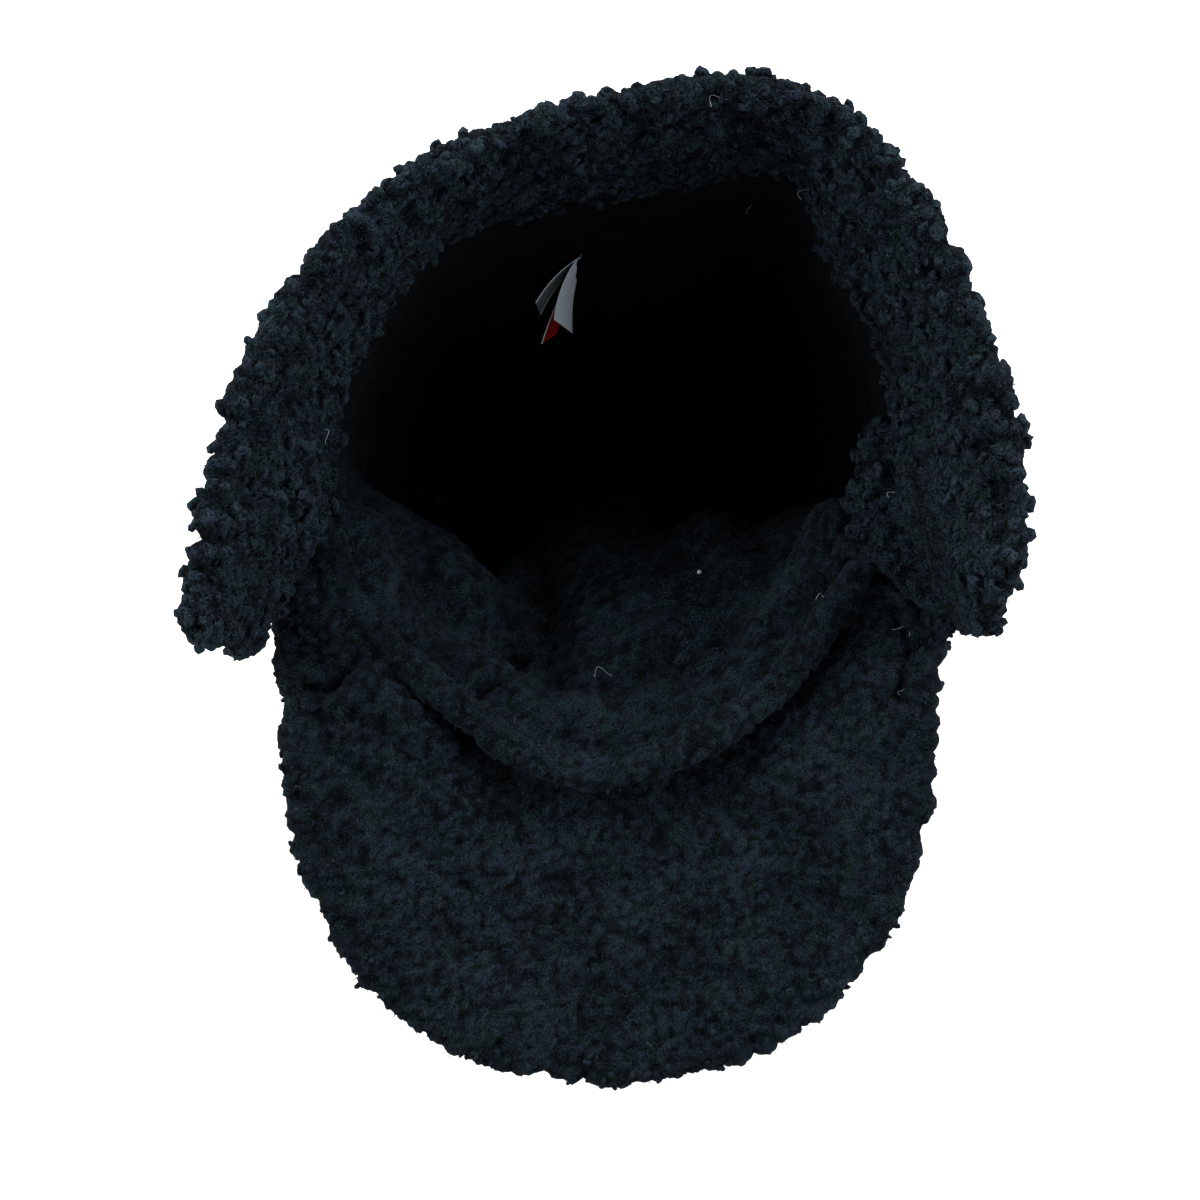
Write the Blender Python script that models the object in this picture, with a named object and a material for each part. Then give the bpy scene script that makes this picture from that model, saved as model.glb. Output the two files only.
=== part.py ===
"""Earflap cap of black curly fleece, lying on its crown with the opening up and the peak to the front.

The cap's own frame has u to the right, v to the back and w out of the opening, and its origin is in the
middle of the opening. The row frame has +Z up, and its origin is in the middle of the flat patch that the
crown lies on. Lengths are in metres.
"""

import math
from collections import namedtuple

import bmesh
import bpy
import numpy as np
from mathutils import Vector

# Clearances
SEAM_GAP = 0.0003

# How the cap lies
OPENING_HEIGHT = 0.108
OPENING_SETBACK = 0.000
FORWARD_TILT = math.radians(12)

# Crown
OPENING_RADIUS = 0.085
SHELL_WALL = 0.0055
LINING_WALL = 0.004
COLLAR_DEPTH = 0.013
REST_HALF_WIDTH = 0.046
REST_HALF_LENGTH = 0.046
BELLY = 0.005
DOME_FULLNESS = 2.15
SEAM_GROOVE = 0.0012
CROWN_SEAMS = 6

# Peak
PEAK_HALF_WIDTH = 0.0935
PEAK_ASIDE = 0.0025
PEAK_LENGTH = 0.1145
PEAK_START = -0.051
PEAK_ROUNDNESS = 2.35
PEAK_WALL = 0.012
PEAK_CURL = 0.009
PEAK_DROOP = 0.008
PEAK_FIRST_ANGLE = 187.5
PEAK_LAST_ANGLE = 360.0

# Earflap band
FLAP_RISE = 0.056
FLAP_WALL = 0.011
FLAP_FIRST_ANGLE = -18.75
FLAP_LAST_ANGLE = 202.5
FLAP_LAP_ANGLE = 26.25

# Roll along the brow, from one end of the band to the other
ROLL_HEIGHT = 0.009
ROLL_ENDS = 0.35

# Labels
LABEL_WALL = 0.0005
LABEL_WIDTH = 0.012

# How finely the pieces are divided
CROWN_SECTIONS = 48
COLLAR_ROWS = 1
DOME_ROWS = 13
PEAK_ROWS = 5
FLAP_ROWS = 5
ROLL_SIDES = 8
LABEL_ROWS = 6

# The opening's edge, inside the lining: each angle's distance from the middle, as a share of OPENING_RADIUS.
# Angle 0 is to the right, 90 at the back and 270 at the middle of the brow.
Edge = namedtuple("Edge", "angle reach")
OPENING_EDGE = (
    Edge(0, 0.92),
    Edge(16, 1.00),
    Edge(34, 1.08),
    Edge(48, 1.12),
    Edge(61, 1.30),
    Edge(73, 1.13),
    Edge(90, 1.03),
    Edge(119, 1.02),
    Edge(150, 0.93),
    Edge(178, 0.88),
    Edge(204, 0.84),
    Edge(230, 0.75),
    Edge(252, 0.80),
    Edge(270, 0.83),
    Edge(292, 0.79),
    Edge(316, 0.78),
    Edge(340, 0.81),
)

# The band's free edge: the reach of its wall's middle as a share of OPENING_RADIUS, its rise as a share of FLAP_RISE, and the
# degrees by which it is swept back from the band's root.
Flap = namedtuple("Flap", "angle reach rise sweep")
FLAP_EDGE = (
    Flap(-18.75, 1.30, 0.72, 0.0),
    Flap(-12, 1.315, 0.92, 0.0),
    Flap(8, 1.33, 1.00, 0.0),
    Flap(26, 1.33, 1.00, 0.0),
    Flap(42, 1.38, 1.00, 0.0),
    Flap(56, 1.44, 1.02, 0.0),
    Flap(68, 1.41, 1.03, 0.0),
    Flap(84, 1.30, 1.02, 0.0),
    Flap(106, 1.21, 1.00, 0.0),
    Flap(128, 1.18, 1.00, 0.0),
    Flap(154, 1.18, 1.00, 0.0),
    Flap(172, 1.21, 1.00, 0.0),
    Flap(190, 1.28, 0.98, 2.0),
    Flap(202.5, 1.36, 0.92, 4.0),
)

# Folds of the soft crown. Level runs from 0 at the opening's edge to 1 at the flat patch; spread and reach are
# the half widths round and down the wall; the wall is pushed in the direction of heading, and lifted towards
# the opening, by these shares of OPENING_RADIUS.
Fold = namedtuple("Fold", "name angle spread level reach heading push lift")
CROWN_FOLDS = (
    Fold("left_fold", 203, 37, 0.34, 0.32, 25, 0.48, 0.17),
    Fold("brow_fold", 286, 45, 0.35, 0.32, 92, 0.82, 0.00),
    Fold("right_fold", 329, 41, 0.36, 0.32, 112, 0.46, 0.00),
    Fold("nape_fold", 96, 40, 0.44, 0.36, 276, 0.10, 0.00),
)

# The height of the roll round the brow, as a share of ROLL_HEIGHT.
Roll = namedtuple("Roll", "angle height")
ROLL_SWELL = (
    Roll(184, 0.40),
    Roll(206, 0.45),
    Roll(228, 0.60),
    Roll(250, 0.95),
    Roll(285, 1.00),
    Roll(330, 0.90),
    Roll(356, 0.60),
)

# Labels sewn into the back seam of the lining, edge on: the crown row that they start on, how many labels lie
# between them and the seam's middle, their length, the direction that they stand off the wall in, how far they
# hang down and lean, as shares of their length and width.
Label = namedtuple("Label", "name row place length direction hang lean")
LABELS = (
    Label("label_white", 3, 0, 0.020, 255.0, 0.25, 0.40),
    Label("label_red", 3, 1, 0.026, 245.0, 0.55, 0.30),
    Label("label_grey", 3, 2, 0.018, 229.0, 0.20, 0.25),
)

FLEECE_BLACK = (0.012, 0.015, 0.019)
LINING_BLACK = (0.010, 0.014, 0.018)
LABEL_WHITE = (0.55, 0.58, 0.62)
LABEL_RED = (0.35, 0.02, 0.01)


def clear_scene():
    for item in list(bpy.data.objects):
        bpy.data.objects.remove(item)


def cloth(name, colour, roughness=0.95):
    """A matt cloth material."""
    material = bpy.data.materials.new(name)
    material.use_nodes = True
    shader = material.node_tree.nodes["Principled BSDF"]
    shader.inputs["Base Color"].default_value = (*colour, 1.0)
    shader.inputs["Roughness"].default_value = roughness
    shader.inputs["Metallic"].default_value = 0.0
    return material


def row_frame(points):
    """Points of the cap's frame, in the row frame: the peak's weight tips the opening forwards."""
    u, v, w = np.moveaxis(np.asarray(points, float), -1, 0)
    cosine = math.cos(FORWARD_TILT)
    sine = math.sin(FORWARD_TILT)
    return np.stack(
        [u, OPENING_SETBACK + v * cosine - w * sine, OPENING_HEIGHT + v * sine + w * cosine],
        axis=-1,
    )


def row_direction(directions):
    """Directions of the cap's frame, in the row frame."""
    return row_frame(directions) - row_frame(np.zeros(3))


def polar(angle, radius, w=0.0):
    """Points of the cap's frame at these angles, in degrees, and distances from its w axis."""
    turn = np.radians(angle)
    u = radius * np.cos(turn)
    v = radius * np.sin(turn)
    return np.stack(np.broadcast_arrays(u, v, w), axis=-1)


def smooth_step(x):
    x = np.clip(x, 0.0, 1.0)
    return x * x * (3.0 - 2.0 * x)


def bump(x):
    """1 at 0, falling smoothly to 0 at -1 and 1."""
    return np.clip(1.0 - x * x, 0.0, None) ** 1.7


def through_rows(rows, column, angle, period=None):
    """A column of a table at any angle, on a smooth curve through the table's rows."""
    angles = [float(row.angle) for row in rows]
    values = [getattr(row, column) for row in rows]
    if period:
        angle = (np.asarray(angle, float) - angles[0]) % period + angles[0]
        angles = [angles[-1] - period, *angles, angles[0] + period, angles[1] + period]
        values = [values[-1], *values, values[0], values[1]]
    angles = np.array(angles)
    values = np.array(values)
    slopes = np.gradient(values, angles)
    angle = np.clip(angle, angles[0], angles[-1])
    k = np.clip(np.searchsorted(angles, angle, side="right") - 1, 0, len(angles) - 2)
    step = angles[k + 1] - angles[k]
    x = (angle - angles[k]) / step
    rise = values[k + 1] - values[k]
    start = slopes[k] * step
    end = slopes[k + 1] * step
    return values[k] + x * start + x**2 * (3 * rise - 2 * start - end) + x**3 * (start + end - 2 * rise)


def opening_edge(angle):
    """Distance of the lining's inner face from the cap's w axis, at the opening."""
    return OPENING_RADIUS * through_rows(OPENING_EDGE, "reach", angle, period=360.0)


CROWN_WALL = LINING_WALL + SEAM_GAP + SHELL_WALL
CROWN_ANGLES = np.arange(CROWN_SECTIONS) * 360.0 / CROWN_SECTIONS


def crown_edge(angle, depth_in_wall):
    """Distance from the cap's w axis of the crown's flat-sided collar, this deep in its wall."""
    corners = opening_edge(CROWN_ANGLES) + depth_in_wall
    at = (np.asarray(angle, float) % 360.0) / 360.0 * CROWN_SECTIONS
    k = np.floor(at).astype(int) % CROWN_SECTIONS
    first = polar(CROWN_ANGLES[k], corners[k])
    second = polar(CROWN_ANGLES[(k + 1) % CROWN_SECTIONS], corners[(k + 1) % CROWN_SECTIONS])
    turn = np.radians(angle)
    ray = np.stack([np.cos(turn), np.sin(turn)], axis=-1)
    side = second - first
    across = ray[..., 0] * side[..., 1] - ray[..., 1] * side[..., 0]
    return (first[..., 0] * side[..., 1] - first[..., 1] * side[..., 0]) / across


def smooth_normals(grid, wraps):
    """Unit normals of a grid of points, pointing away from the w axis."""
    if wraps:
        along = np.roll(grid, -1, axis=1) - np.roll(grid, 1, axis=1)
    else:
        along = np.gradient(grid, axis=1)
    normals = np.cross(along, np.gradient(grid, axis=0))
    normals /= np.linalg.norm(normals, axis=-1, keepdims=True)
    middle = len(grid) // 2
    outwards = grid[middle] - row_frame(np.zeros(3))
    return normals * np.sign(np.sum(normals[middle] * outwards))


def crown_grid():
    """The surface between shell and lining, as rows from the opening's edge to the flat patch, and its normals."""
    edge = opening_edge(CROWN_ANGLES) + LINING_WALL + SEAM_GAP / 2
    collar = [
        row_frame(polar(CROWN_ANGLES, edge, -COLLAR_DEPTH * share))
        for share in np.linspace(0.0, 1.0, COLLAR_ROWS, endpoint=False)
    ]
    foot = row_frame(polar(CROWN_ANGLES, edge, -COLLAR_DEPTH))
    rest_level = SHELL_WALL + SEAM_GAP / 2
    turn = np.radians(CROWN_ANGLES)
    patch = np.stack(
        [REST_HALF_WIDTH * np.cos(turn), REST_HALF_LENGTH * np.sin(turn), np.full_like(turn, rest_level)],
        axis=-1,
    )
    outwards = row_direction(polar(CROWN_ANGLES, 1.0))
    seam = bump(((CROWN_ANGLES + 90.0) * CROWN_SEAMS / 360.0 + 0.5) % 1.0 * 4.0 - 2.0)[:, None]
    dome = []
    for share in np.linspace(0.0, 1.0, DOME_ROWS):
        phase = share * math.pi / 2
        side = math.cos(phase) ** (2 / DOME_FULLNESS)
        fall = math.sin(phase) ** (2 / DOME_FULLNESS)
        row = patch + (foot - patch) * np.array([side, side, 1.0 - fall])
        swell = BELLY * math.sin(2 * phase)
        dome.append(row + outwards * (swell - SEAM_GROOVE * math.sin(2 * phase) * seam))
    grid = np.array(collar + dome)
    levels = np.linspace(0.0, 1.0, len(grid))[:, None]
    for fold in CROWN_FOLDS:
        off = (CROWN_ANGLES - fold.angle + 180.0) % 360.0 - 180.0
        weight = bump(off / fold.spread)[None, :] * bump((levels - fold.level) / fold.reach)
        weight[:COLLAR_ROWS + 1] = 0.0
        weight[-1] = 0.0
        move = row_direction(polar(fold.heading, fold.push, fold.lift)) * OPENING_RADIUS
        grid = grid + weight[..., None] * move
    normals = smooth_normals(grid, wraps=True)
    normals[:COLLAR_ROWS + 1] = outwards
    normals[-1] = (0.0, 0.0, -1.0)
    return grid, normals


def finish(name, form, material):
    """Turns a closed form into a named piece, smooth where it is round."""
    bmesh.ops.recalc_face_normals(form, faces=form.faces)
    mesh = bpy.data.meshes.new(name)
    form.to_mesh(mesh)
    form.free()
    mesh.shade_smooth()
    mesh.set_sharp_from_angle(angle=math.radians(50))
    mesh.materials.append(material)
    piece = bpy.data.objects.new(name, mesh)
    bpy.context.scene.collection.objects.link(piece)


def solid(name, near, far, material, wraps=False):
    """A wall between two grids of points. One that wraps is open at its first row and closed by its last."""
    form = bmesh.new()
    layers = [[[form.verts.new(Vector(p)) for p in row] for row in grid] for grid in (near, far)]
    rows = len(near)
    columns = len(near[0])
    last = columns if wraps else columns - 1
    for layer in layers:
        for r in range(rows - 1):
            for c in range(last):
                d = (c + 1) % columns
                form.faces.new((layer[r][c], layer[r][d], layer[r + 1][d], layer[r + 1][c]))
        if wraps:
            form.faces.new(layer[-1])
    edges = [[layer[0] for layer in layers]]
    if not wraps:
        edges.append([layer[-1] for layer in layers])
        edges.append([[row[0] for row in layer] for layer in layers])
        edges.append([[row[-1] for row in layer] for layer in layers])
    for first, second in edges:
        count = len(first) if wraps else len(first) - 1
        for c in range(count):
            d = (c + 1) % len(first)
            form.faces.new((first[c], first[d], second[d], second[c]))
    finish(name, form, material)


def crown(fleece, lining):
    """The outer shell, and the lining inside it, which shows through the opening. Returns the lining's face."""
    grid, normals = crown_grid()
    half_gap = normals * SEAM_GAP / 2
    face = grid - half_gap - normals * LINING_WALL
    solid("crown_shell", grid + half_gap + normals * SHELL_WALL, grid + half_gap, fleece, wraps=True)
    solid("crown_lining", grid - half_gap, face, lining, wraps=True)
    return face


def half_steps(first, last):
    """Angles from first to last, two to each section of the crown, so that seams follow the same chords."""
    step = 180.0 / CROWN_SECTIONS
    return np.arange(math.ceil(first / step - 0.01), math.floor(last / step + 0.01) + 1) * step


def peak_outline(angle):
    """Distance from the w axis of the peak's free edge: straight sides, and a rounded front."""
    turn = np.linspace(math.pi, 2 * math.pi, 181)
    power = 2 / PEAK_ROUNDNESS
    u = PEAK_ASIDE + PEAK_HALF_WIDTH * np.sign(np.cos(turn)) * np.abs(np.cos(turn)) ** power
    v = PEAK_START - PEAK_LENGTH * np.abs(np.sin(turn)) ** power
    u = np.concatenate([[u[0]], u, [u[-1]]])
    v = np.concatenate([[0.0], v, [0.0]])
    angles = np.degrees(np.unwrap(np.arctan2(v, u))) % 360.0
    angles[-1] = 360.0
    at = np.asarray(angle, float) % 360.0
    at = np.where(at < 90.0, 360.0, np.maximum(at, 180.0))
    return np.interp(at, angles, np.hypot(u, v))


def lap(angle):
    """How far the band's root has left the crown's edge for the peak's free edge: from 0 to 1 at its ends."""
    angle = (np.asarray(angle, float) + 90.0) % 360.0 - 90.0
    left = (angle - FLAP_LAST_ANGLE) / FLAP_LAP_ANGLE + 1.0
    right = (FLAP_FIRST_ANGLE - angle) / FLAP_LAP_ANGLE + 1.0
    return smooth_step(np.maximum(left, right))


def flap_root(angle):
    """Distance from the w axis of the band's inner face, where it is sewn on."""
    share = lap(angle)
    return crown_edge(angle, 0.0) * (1.0 - share) + (peak_outline(angle) + SEAM_GAP) * share


def peak(material):
    """The peak: a padded plate round the brow, its top flush with the crown's edge, its sides curling up."""
    angles = half_steps(PEAK_FIRST_ANGLE, PEAK_LAST_ANGLE)
    inner = crown_edge(angles, CROWN_WALL) + SEAM_GAP
    share = lap(angles)
    outer = inner * (1.0 - share) + peak_outline(angles) * share
    shares = np.sin(np.linspace(0.0, 0.5, PEAK_ROWS + 1) * math.pi)[:, None]
    middle = polar(angles, inner + (outer - inner) * shares)
    forward = smooth_step(-middle[..., 1] / (-PEAK_START + PEAK_LENGTH))
    aside = ((middle[..., 0] - PEAK_ASIDE) / PEAK_HALF_WIDTH) ** 2
    clear_of_band = smooth_step(2.0 * forward)
    middle[..., 2] = PEAK_CURL * aside * clear_of_band - PEAK_DROOP * forward * (1.0 - aside) - PEAK_WALL / 2
    rounding = np.sqrt(np.clip(1.0 - shares**7, 0.10, 1.0))
    half = PEAK_WALL / 2 * rounding[..., None] * np.array([0.0, 0.0, 1.0])
    solid("peak", row_frame(middle + half), row_frame(middle - half), material)


def earflap_band(material):
    """The band over both ears and the nape, flared off the crown's edge."""
    angles = half_steps(FLAP_FIRST_ANGLE, FLAP_LAST_ANGLE)
    root = flap_root(angles) + FLAP_WALL / 2
    reach = OPENING_RADIUS * through_rows(FLAP_EDGE, "reach", angles)
    rise = FLAP_RISE * through_rows(FLAP_EDGE, "rise", angles)
    sweep = through_rows(FLAP_EDGE, "sweep", angles)
    shares = np.linspace(0.0, 1.0, FLAP_ROWS + 1)[:, None]
    radius = root + (reach - root) * shares**1.3
    grid = row_frame(polar(angles - sweep * shares, radius, SEAM_GAP + rise * shares))
    normals = smooth_normals(grid, wraps=False)
    normals[0] = row_direction(polar(angles, 1.0))
    from_end = np.minimum(np.arange(len(angles)), np.arange(len(angles))[::-1])
    rounding = np.sqrt(np.clip(1.0 - shares**5, 0.20, 1.0)) * np.sqrt(np.clip(0.4 + from_end / 3, 0.0, 1.0))
    half = FLAP_WALL / 2 * rounding[..., None] * normals
    solid("earflap_band", grid + half, grid - half, material)


def brow_roll(material):
    """The soft roll on the crown's front edge, from one end of the band to the other."""
    angles = half_steps(FLAP_LAST_ANGLE - FLAP_LAP_ANGLE, 360.0 + FLAP_FIRST_ANGLE + FLAP_LAP_ANGLE)
    inner = crown_edge(angles, 0.0)
    outer = np.minimum(crown_edge(angles, CROWN_WALL), flap_root(angles) - SEAM_GAP)
    wide = outer - inner > CROWN_WALL * ROLL_ENDS
    angles, inner, outer = angles[wide], inner[wide], outer[wide]
    height = ROLL_HEIGHT * through_rows(ROLL_SWELL, "height", angles)
    from_end = np.minimum(np.arange(len(angles)), np.arange(len(angles))[::-1])
    height = height * np.sqrt(np.clip(0.3 + from_end / 3, 0.0, 1.0))
    phases = (np.arange(ROLL_SIDES) + 0.5)[:, None] * 2 * math.pi / ROLL_SIDES
    to_flat = math.cos(math.pi / ROLL_SIDES)
    radius = (inner + outer) / 2 + np.cos(phases) / to_flat * (outer - inner) / 2
    up = SEAM_GAP + height / 2 * (1.0 + np.sin(phases) / to_flat)
    loops = row_frame(polar(angles, radius, up))
    form = bmesh.new()
    rings = [[form.verts.new(Vector(loop[c])) for loop in loops] for c in range(len(angles))]
    for one, two in zip(rings, rings[1:]):
        for k in range(ROLL_SIDES):
            n = (k + 1) % ROLL_SIDES
            form.faces.new((one[k], one[n], two[n], two[k]))
    form.faces.new(rings[0])
    form.faces.new(rings[-1])
    finish("brow_roll", form, material)


def label(row, face, material):
    """A strip of label cloth, edge on to the seam that it is sewn into."""
    column = CROWN_SECTIONS // 4
    top, foot = (face[k, column] + face[k, column + 1] for k in (row.row, row.row + 1))
    top, foot = top / 2, foot / 2
    along_wall = face[row.row, column + 1] - face[row.row, column]
    along_wall /= np.linalg.norm(along_wall)
    down_wall = (foot - top) / np.linalg.norm(foot - top)
    off_wall = np.cross(along_wall, down_wall)
    off_wall *= np.sign(np.sum(off_wall * (row_frame(np.zeros(3)) - top)))
    start = (top + foot) / 2 + off_wall * SEAM_GAP + along_wall * row.place * (LABEL_WALL + SEAM_GAP)
    away = row_direction(polar(row.direction, 1.0, -row.hang))
    shares = np.linspace(0.0, 1.0, LABEL_ROWS)[:, None, None]
    bend = shares**2
    centre = start + away * row.length * (shares * 0.6 + bend * 0.4) + off_wall * row.length * 0.4 * (shares - bend)
    lean = row_direction(polar(row.direction + 90.0, row.lean))
    across = down_wall + lean * bend
    across /= np.linalg.norm(across, axis=-1, keepdims=True)
    grid = centre + across * LABEL_WIDTH / 2 * np.array([-1.0, 1.0])[None, :, None]
    normals = smooth_normals(grid, wraps=False)
    half = LABEL_WALL / 2 * normals
    solid(row.name, grid + half, grid - half, material)


def main():
    clear_scene()
    fleece = cloth("curly_fleece", FLEECE_BLACK)
    lining = cloth("short_fleece", LINING_BLACK)
    white = cloth("label_cloth_white", LABEL_WHITE, 0.8)
    red = cloth("label_cloth_red", LABEL_RED, 0.8)
    face = crown(fleece, lining)
    peak(lining)
    earflap_band(fleece)
    brow_roll(lining)
    for row in LABELS:
        label(row, face, red if row.name == "label_red" else white)


main()
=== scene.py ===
"""Looks of an earflap cap of black fleece that lies on its crown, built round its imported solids."""

import math
from collections import namedtuple

import bmesh
import bpy
import numpy as np
from bpy.props import FloatProperty, FloatVectorProperty, IntProperty, PointerProperty
from bpy.types import Operator, Panel, PropertyGroup
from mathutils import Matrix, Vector


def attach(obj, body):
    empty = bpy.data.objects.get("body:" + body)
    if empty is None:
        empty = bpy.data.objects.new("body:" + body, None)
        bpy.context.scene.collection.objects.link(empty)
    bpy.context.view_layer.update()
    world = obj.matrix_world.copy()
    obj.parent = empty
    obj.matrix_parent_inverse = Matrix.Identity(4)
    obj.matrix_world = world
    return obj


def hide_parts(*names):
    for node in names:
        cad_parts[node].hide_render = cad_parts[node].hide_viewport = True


bl_info = {
    "name": "Earflap Cap",
    "version": (1, 0, 0),
    "blender": (4, 5, 0),
    "location": "View3D > Sidebar > Cap",
    "description": "Makes the fleece, labels and stage of an earflap cap round its packed solids",
    "category": "Object",
}

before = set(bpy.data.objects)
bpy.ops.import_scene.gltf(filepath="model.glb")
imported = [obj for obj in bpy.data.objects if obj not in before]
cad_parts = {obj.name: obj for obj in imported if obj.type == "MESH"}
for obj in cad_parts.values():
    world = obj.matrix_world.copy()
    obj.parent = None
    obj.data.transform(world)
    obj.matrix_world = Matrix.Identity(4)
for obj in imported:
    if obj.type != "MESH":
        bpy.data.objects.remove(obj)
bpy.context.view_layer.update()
MM = 0.001

# How the cap lies: its opening leans towards the peak, and the camera looks straight into it.
OPENING_HEIGHT = 0.108
OPENING_TILT = math.radians(12)
CAMERA_ELEVATION = math.radians(78)
CAMERA_DISTANCE = 0.9
CAMERA_LENS = 95.0
CAMERA_TARGET = (0.0, -0.026, 0.105)
SENSOR_WIDTH = 36.0
PHOTO_SIZE = 1200

# What makes the pile bright: its height, as painted shade between the curls and a painted highlight on their
# tops, its single fibres and its worn patches, less a floor.
PILE_SHADE_AND_TONE_SHARE = 0.85
FIBRE_CONTRAST = 5.0
PATCH_CONTRAST = 0.8
SHADE_FLOOR = 0.12

# Width of the patches of greener and bluer pile.
LOCK_SIZE = 6 * MM

# How far a curl sinks into the cloth, as a share of its size, and how far it tilts, in radians.
CURL_SINK = 0.24
CURL_TILT = 1.2

# Painted shade: how much of its colour the lining's pile keeps on the back wall and far down in the hollow,
# where shade falls.
LINING_SHADE = 0.12

# The peak's outline in the opening's millimetres: straight sides and a rounded front.
RIM_ASIDE = 2.5
RIM_HALF_WIDTH = 93.5
RIM_START = -51.0
RIM_LENGTH = 114.5
RIM_ROUNDNESS = 2.35

# Creases (negative heights) and low ridges pressed into the soft cloth, seen through the opening: u to the
# right and v to the back, in millimetres from the middle of the opening. Each runs along its points.
Fold = namedtuple("Fold", "piece width height points")
FOLDS = (
    Fold("crown_lining", 14.0, -7.0, ((24, -18), (30, -32), (28, -44))),
    Fold("crown_lining", 8.0, -5.0, ((-20, -20), (-16, -34), (-15, -50))),
    Fold("crown_lining", 9.0, 3.0, ((-3, -4), (-6, -37), (-3, -62))),
    Fold("crown_lining", 10.0, -3.5, ((-52, -24), (-44, -34))),
    Fold("crown_lining", 3.5, -6.0, ((-24, -44), (-28, -49), (-38, -55))),
    Fold("peak", 3.5, -5.0, ((70, -17), (82, -18), (93, -25))),
    Fold("peak", 4.0, -3.5, ((84, -30), (88, -40), (85, -54))),
    Fold("peak", 3.5, -3.5, ((-84, -50), (-76, -52), (-70, -44))),
    Fold("peak", 3.5, 2.5, ((-82, -56), (-70, -54), (-62, -46))),
    Fold("peak", 5.0, -3.5, ((-80, -56), (-76, -70), (-66, -78))),
    Fold("peak", 6.0, -2.0, ((-60, -92), (-40, -108))),
    Fold("peak", 9.0, -1.5, ((30, -84), (52, -100), (60, -120))),
)

# Fullness of the cloth between the solids: round rolls along points, as u, v and depth w of the opening.
Roll = namedtuple("Roll", "piece radius points")
ROLLS = (
    Roll("crown_lining", 11.0, ((-27, -47, -38), (-26, -34, -45), (-23, -22, -53))),
    Roll("crown_lining", 13.0, ((-17, -52, -35), (-13, -40, -43), (-11, -24, -51), (-9, -12, -58))),
    Roll("crown_lining", 13.0, ((0, -48, -35), (2, -34, -43), (5, -19, -50), (8, -7, -58))),
    Roll("crown_lining", 10.0, ((-34, -49, -15), (-17, -61, -14), (0, -66, -14), (17, -61, -14))),
    Roll("crown_lining", 10.0, ((17, -61, -14), (31, -54, -14))),
    Roll("crown_lining", 10.0, ((31, -54, -14), (44, -44, -14), (55, -31, -14), (63, -17, -14))),
    Roll("crown_lining", 10.0, ((63, -17, -14), (68, -6, -12))),
    Roll("crown_lining", 10.0, ((-70, -8, -9), (-64, -25, -8), (-54, -37, -8.5), (-42, -46, -11))),
    Roll("peak", 10.0, ((-80, -10, -5.5), (-72, -31, -5), (-58, -45, -5.5), (-47, -54, -8))),
    Roll("peak", 8.5, ((-87, -12, -5), (-81, -31, -4), (-67, -49, -1.5), (-56, -60, -2), (-47, -67, -5))),
    Roll("peak", 5.5, ((71, -12, 0), (80, -11, 2), (90, -15, 2), (96, -22, 1), (98, -31, -1))),
    Roll("peak", 5.5, ((-38, -67, -9.5), (-20, -77, -9.5), (0, -81, -9.5), (20, -77, -9.5), (38, -68, -9.5))),
    Roll("peak", 5.5, ((38, -68, -9.5), (54, -55, -9.5), (67, -40, -9.5), (77, -23, -9.5), (84, -11, -9.5))),
    Roll("peak", 6.0, ((74, -28, -5), (80, -19, -5), (86, -13, -5))),
    Roll("peak", 6.5, ((80, -18, -3), (87, -24, -3), (92, -31, -4))),
    Roll("earflap_band", 7.0, ((81, 18, 4), (78, 3, 2), (80, -9, 2), (88, -17, 3), (97, -25, 4))),
)

# Labels sewn into the back seam: where each starts and ends in the opening's millimetres, how far it bows
# out to the left, how much of its width turns to the viewer at its end, and the colours of its left hem,
# its middle and its right hem.
Label = namedtuple("Label", "node start end bow turned cloths")
LABELS = (
    Label("label_white", (-5.4, 77, -46), (-11, 56, -48), 1.4, (0.46, -0.28), ("pale",) * 3),
    # Painted shade: the middle of this label is the pale cloth darkened to stand for the shade it lies in.
    Label("label_grey", (-5.6, 76, -45), (-18.6, 61.5, -50), 1.2, (0.10, -0.24), ("pale", "grey", "pale")),
    Label("label_red", (-5.8, 76, -50), (-15.4, 53, -57), 0.8, (0.40, 0.34), ("pale", "red", "red")),
)
LABEL_WIDTH = 12.0
LABEL_ROWS = 9
LABEL_HEM = 1.0
LABEL_TURN_POWER = 0.7

# Loose threads and a speck of lint that lie on the cap: where each shows in the photograph, in its pixels,
# its length and its turn in degrees.
Thread = namedtuple("Thread", "x y length turn")
THREADS = (
    Thread(720, 100, 0.005, 40),
    Thread(750, 205, 0.004, 110),
    Thread(810, 190, 0.006, 70),
    Thread(600, 673, 0.005, 20),
    Thread(820, 598, 0.0025, 0),
    Thread(905, 628, 0.005, 320),
    Thread(890, 492, 0.003, 60),
    Thread(325, 435, 0.004, 130),
    Thread(440, 500, 0.003, 15),
    Thread(905, 690, 0.003, 80),
)
SPECK_PLACE = (699, 574)
SPECK_SIZE = 1.5
THREAD_WIDTH = 0.10
THREAD_LIFT = 0.8
THREAD_STEPS = 8
THREAD_SIDES = ((1, 0, 0), (-0.5, 0.9, 0), (-0.5, -0.9, 0.4))


def length_setting(name, description, metres):
    return FloatProperty(name=name, description=description, default=metres, unit="LENGTH")


def colour_setting(name, description, value):
    return FloatVectorProperty(name=name, description=description, default=value, subtype="COLOR")


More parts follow.
